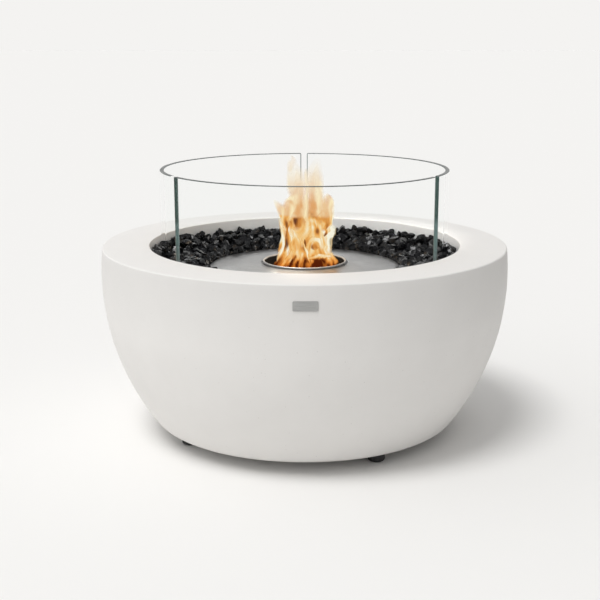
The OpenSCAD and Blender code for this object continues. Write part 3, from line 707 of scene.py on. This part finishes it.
ribbons = [
    ([(-.038, -.018, .323), (-.035, -.022, .311), (-.032, -.026, .300), (-.030, -.030, .289),
      (-.031, -.033, .278), (-.035, -.036, .269), (-.039, -.037, .259)],
     [.0044, .0081, .0095, .0095, .0095, .0088, .0059], -112, 0.42),
    ([(-.028, -.023, .322), (-.025, -.028, .306), (-.025, -.032, .290), (-.028, -.036, .274)],
     [.0110, .0150, .0120, .0060], -105, -0.25),
    ([(-.007, -.026, .346), (-.008, -.029, .330), (-.011, -.031, .318), (-.012, -.034, .303)],
     [.0130, .0180, .0310, .0120], -98, -0.35),
    ([(-.020, -.042, .263), (-.015, -.038, .280), (-.015, -.034, .294), (-.020, -.031, .307)],
     [.0102, .0175, .0161, .0073], -99, 0.22),
    ([(.004, -.026, .325), (.005, -.029, .313), (.004, -.032, .301), (-.002, -.035, .291),
      (-.004, -.038, .279)],
     [.0117, .0146, .0131, .0102, .0058], -90, 0.26),
    ([(.032, -.027, .335), (.031, -.029, .322), (.030, -.031, .313), (.026, -.033, .302)],
     [.0200, .0290, .0240, .0080], -75, -0.38),
    ([(.030, -.033, .307), (.032, -.035, .301), (.028, -.037, .295)],
     [.0029, .0051, .0029], -77, -0.45),
    ([(.034, -.036, .269), (.034, -.034, .282), (.034, -.032, .292), (.039, -.029, .302),
      (.045, -.026, .310)],
     [.0140, .0165, .0185, .0215, .0100], -70, 0.5),
    ([(.004, -.045, .271), (.005, -.043, .282), (.009, -.042, .290), (.017, -.041, .292),
      (.023, -.041, .287), (.025, -.042, .275)],
     [.0070, .0090, .0100, .0100, .0090, .0060], -84, 0.30),
    ([(.012, -.040, .276), (.015, -.039, .282), (.020, -.040, .278)],
     [.0090, .0140, .0090], -84, -0.26),
    ([(.004, -.048, .266), (.014, -.047, .267), (.025, -.044, .268), (.040, -.038, .266)],
     [.0058, .0087, .0102, .0059], -82, 0.52),
    ([(.024, -.046, .247), (.023, -.045, .255), (.021, -.044, .263)],
     [.0130, .0150, .0060], -83, -0.40),
    ([(.012, -.047, .247), (.014, -.046, .255), (.017, -.045, .263)],
     [.0090, .0100, .0050], -86, -0.26),
    ([(-.005, -.040, .294), (.000, -.043, .282), (.004, -.046, .273), (.006, -.048, .264),
      (.009, -.048, .254)],
     [.0029, .0044, .0058, .0058, .0044], -90, 0.46),
    ([(.000, -.038, .292), (.001, -.041, .284), (.000, -.043, .275)],
     [.0022, .0050, .0022], -90, -0.45),
    ([(-.046, -.040, .248), (-.038, -.040, .258), (-.030, -.038, .272), (-.028, -.036, .284)],
     [.0090, .0090, .0070, .0040], -108, -0.30),
    ([(-.024, -.045, .247), (-.018, -.044, .258), (-.012, -.043, .270)],
     [.0090, .0090, .0040], -100, -0.34),
    ([(-.001, -.049, .246), (.000, -.048, .255), (.001, -.047, .264)],
     [.0080, .0080, .0040], -92, -0.34),
    ([(-.038, -.044, .248), (-.030, -.043, .258), (-.022, -.042, .267), (-.018, -.040, .278)],
     [.0070, .0080, .0080, .0050], -104, 0.26),
    ([(-.009, -.050, .248), (-.006, -.048, .260), (-.003, -.045, .274)],
     [.0060, .0080, .0050], -93, 0.28),
    ([(.048, -.038, .255), (.042, -.036, .263), (.039, -.034, .272)],
     [.0088, .0088, .0044], -66, 0.08),
    ([(-.023, -.004, .384), (-.020, -.004, .395), (-.017, -.004, .403), (-.020, -.003, .411)],
     [.0070, .0130, .0120, .0020], -92, -0.20),
    ([(.011, -.025, .319), (.012, -.020, .339), (.012, -.016, .361), (.011, -.013, .387)],
     [.0146, .0176, .0161, .0117], -88, -0.46),
    ([(-.011, -.027, .318), (-.008, -.021, .336), (-.007, -.018, .352), (-.007, -.015, .372)],
     [.0175, .0190, .0161, .0117], -92, -0.34),
    ([(.002, -.027, .315), (.002, -.022, .341), (.003, -.018, .370), (.001, -.014, .393)],
     [.0102, .0102, .0088, .0044], -90, 0.34),
]


def along(points, t):
    """A smooth line through points, at a share of its length."""
    place = min(max(t, 0.0), 1.0) * (len(points) - 1)
    i = min(int(place), len(points) - 2)
    f = place - i
    a, b, c, d = (Vector(points[min(max(k, 0), len(points) - 1)]) for k in (i - 1, i, i + 1, i + 2))
    return 0.5 * (2 * b + (c - a) * f + (2 * a - 5 * b + 4 * c - d) * f ** 2
                  + (3 * b - a - 3 * c + d) * f ** 3)


# The back and the sides get some of the same ribbons, turned about the upright axis and drawn in.
repeated, drawn_in = (0, 2, 3, 4, 7, 10, 14, 15), 0.75
turned_ribbons = []
for turn in (90, 180, 270):
    for line, widths, facing, warmth in (ribbons[k] for k in repeated):
        round_axis = Euler((0, 0, math.radians(turn)))
        about = [Vector((drawn_in * x, drawn_in * y, z)) for x, y, z in line]
        for point in about:
            point.rotate(round_axis)
        turned_ribbons.append((about, widths, facing + turn, warmth))
marks = ("rise", "side", "warm", "soft")
steps_across, steps_long, steps_short = 10, 36, 18
sheets = []
for order, (line, widths, facing, warmth) in enumerate(tongues + ribbons + turned_ribbons):
    bpy.ops.object.select_all(action="DESELECT")
    rows = steps_long if len(line) > 4 else steps_short
    bpy.ops.mesh.primitive_grid_add(x_subdivisions=steps_across, y_subdivisions=rows, size=2)
    sheet = bpy.context.object
    wave, twist = chance.uniform(0, 6.28), chance.uniform(-0.4, 0.4)
    soften = 0.0 if order < len(tongues) else 1.0
    for name in marks:
        sheet.data.attributes.new(name, "FLOAT", "POINT")
    rise, side, warm, soft = (sheet.data.attributes[name].data for name in marks)
    for i, corner in enumerate(sheet.data.vertices):
        u, t = corner.co.x, (corner.co.y + 1) / 2
        rise[i].value, side[i].value, warm[i].value, soft[i].value = t, u, warmth, soften
        half = along([(w, 0, 0) for w in widths], t).x / 2 * (1 + 0.10 * math.sin(11 * t + wave + 2 * u))
        turn = math.radians(facing) + twist * (t - 0.3)
        ahead = (along(line, t + 0.02) - along(line, t - 0.02)).normalized()
        right = ahead.cross(Vector((math.cos(turn), math.sin(turn), 0))).normalized()
        out = right.cross(ahead)
        sway = 0.10 * half * math.sin(9 * t + wave)
        curl = 0.55 * half * (1 - u * u) - 0.3 * half
        corner.co = along(line, t) + right * (u * half + sway) + out * curl
    bpy.ops.object.shade_smooth()
    sheets.append(sheet)
for sheet in sheets:
    sheet.select_set(True)
bpy.ops.object.join()
flame = bpy.context.object
flame.name = flame.data.name = "flame"
flame.visible_shadow = False
flame.visible_diffuse = False

# Heat gives the colour: uneven patches and small licks, hotter at the edges of the tongues and
# cooler at the root.
z_root, z_ember, z_tip = (0.249, 0.272), (0.250, 0.274), (0.3210, 0.3245)
z_cream, z_firmer, z_thin = (0.340, 0.374), (0.350, 0.366), (0.378, 0.403)
burning, tree, shader = new_finish("burning")
spot = here(tree)
up = upright(tree, spot)
rise, side, warmth, soft = (
    put(tree, "ShaderNodeAttribute", attribute_name=name).outputs["Fac"] for name in marks)
firm = worked(tree, "SUBTRACT", 1.0, soft)
drawn = scaled(tree, spot, (1.0, 1.0, 0.45))
patches = noise(tree, drawn, 46.0, 1.2, distortion=1.2)
uneven = worked(tree, "SUBTRACT", patches, 0.5)
licks = worked(tree, "SUBTRACT", noise(tree, drawn, 150.0, 2.0, distortion=0.8), 0.5)
bend = worked(tree, "MULTIPLY_ADD", soft, 1.3, 0.3)
side = worked(tree, "ABSOLUTE", worked(tree, "MULTIPLY_ADD", licks, bend, side))
middle = worked(tree, "MAXIMUM", firm, ranged(tree, side, 1.0, 0.0, 0.15, 0.95))
warmth = worked(tree, "MULTIPLY", warmth, middle)
swing = worked(tree, "MULTIPLY_ADD", soft, -1.1, 2.8)
edge = worked(tree, "MULTIPLY", ranged(tree, side, 0.0, 0.30, 0.55, 0.92), firm)
root = ranged(tree, up, -0.50, 0.0, *z_root)
tip = ranged(tree, up, 0.0, 1.0, *z_tip)
heat = worked(tree, "MULTIPLY_ADD", uneven, swing, warmth)
heat = worked(tree, "MULTIPLY_ADD", licks, 0.28, heat)
shade = worked(tree, "ADD", heat, 0.505)
heat = worked(tree, "ADD", worked(tree, "ADD", shade, edge), root)
ramp = put(tree, "ShaderNodeValToRGB", {"Fac": heat})
stops = [(0.0, (0.090, 0.016, 0.004, 1)), (0.15, (0.330, 0.115, 0.024, 1)),
         (0.30, (0.630, 0.250, 0.052, 1)), (0.45, (0.800, 0.390, 0.100, 1)),
         (0.60, (0.870, 0.540, 0.200, 1)), (0.75, (0.880, 0.640, 0.330, 1)),
         (0.88, (0.900, 0.750, 0.470, 1)), (1.0, (0.920, 0.880, 0.720, 1))]
for place, colour in stops[1:-1]:
    ramp.color_ramp.elements.new(place)
for stop, (place, colour) in zip(ramp.color_ramp.elements, stops):
    stop.position, stop.color = place, colour
ember = ranged(tree, up, 1.0, 0.0, *z_ember)
redder = mixed(tree, ember, ramp.outputs["Color"], (1.0, 0.72, 0.45, 1), blend="MULTIPLY")
yellow = ranged(tree, shade, 0.0, 1.0, 0.12, 0.90)
pale = mixed(tree, yellow, (0.720, 0.350, 0.125, 1), (0.940, 0.800, 0.500, 1))
pale = mixed(tree, ranged(tree, up, 0.0, 0.80, *z_cream), pale, (0.890, 0.795, 0.620, 1))
tree.links.new(mixed(tree, tip, redder, pale), shader.inputs["Emission Color"])
shader.inputs["Emission Strength"].default_value = 1.0
shader.inputs["Base Color"].default_value = (0.0, 0.0, 0.0, 1.0)
shader.inputs["Roughness"].default_value = 1.0
shader.inputs["Specular IOR Level"].default_value = 0.0

# The sheets thin out towards the tips, at their sides, and at both ends of a ribbon.
clear = worked(tree, "MULTIPLY", ranged(tree, patches, 0.80, 1.0, 0.35, 0.60),
               ranged(tree, up, 0.97, 0.50, *z_thin))
cover = between(tree, tip, ranged(tree, patches, 0.92, 1.0, 0.30, 0.50), clear)
begin = worked(tree, "MAXIMUM", firm, ranged(tree, rise, 0.0, 1.0, 0.0, 0.18))
ends = worked(tree, "MULTIPLY", begin, ranged(tree, rise, 1.0, 0.0, 0.84, 1.0))
shoulder = worked(tree, "ADD", ranged(tree, tip, 0.80, 0.42), ranged(tree, up, 0.0, 0.26, *z_firmer))
inner = worked(tree, "MULTIPLY_ADD", soft, -0.45, shoulder)
fray = worked(tree, "MULTIPLY", ranged(tree, side, 1.0, 0.0, inner, 1.0), ends)
tree.links.new(worked(tree, "MULTIPLY", cover, fray), shader.inputs["Alpha"])
flame.data.materials.clear()
flame.data.materials.append(burning)
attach(flame, "burner")

# The fire's light: a soft glow on everything near it, and two glints that only shiny pieces show.
# They hang on the flame and rise with it.
glint_r = 0.034
for name, energy, colour, place, soft_r in (
        ("glow", 0.035, (1.0, 0.86, 0.70), (0.004, -0.012, 0.290), 0.03),
        ("glint_left", 0.70, (1.0, 0.93, 0.82), (-0.013, -0.026, 0.274), glint_r),
        ("glint_right", 0.28, (1.0, 0.60, 0.25), (0.014, -0.026, 0.274), glint_r)):
    lamp = bpy.data.lights.new(name, "POINT")
    lamp.energy, lamp.color, lamp.shadow_soft_size = energy, colour, soft_r
    firelight = bpy.data.objects.new(name, lamp)
    bpy.context.scene.collection.objects.link(firelight)
    firelight.location = place
    firelight.parent = flame
    firelight.visible_camera = firelight.visible_transmission = False
    firelight.visible_diffuse = name == "glow"
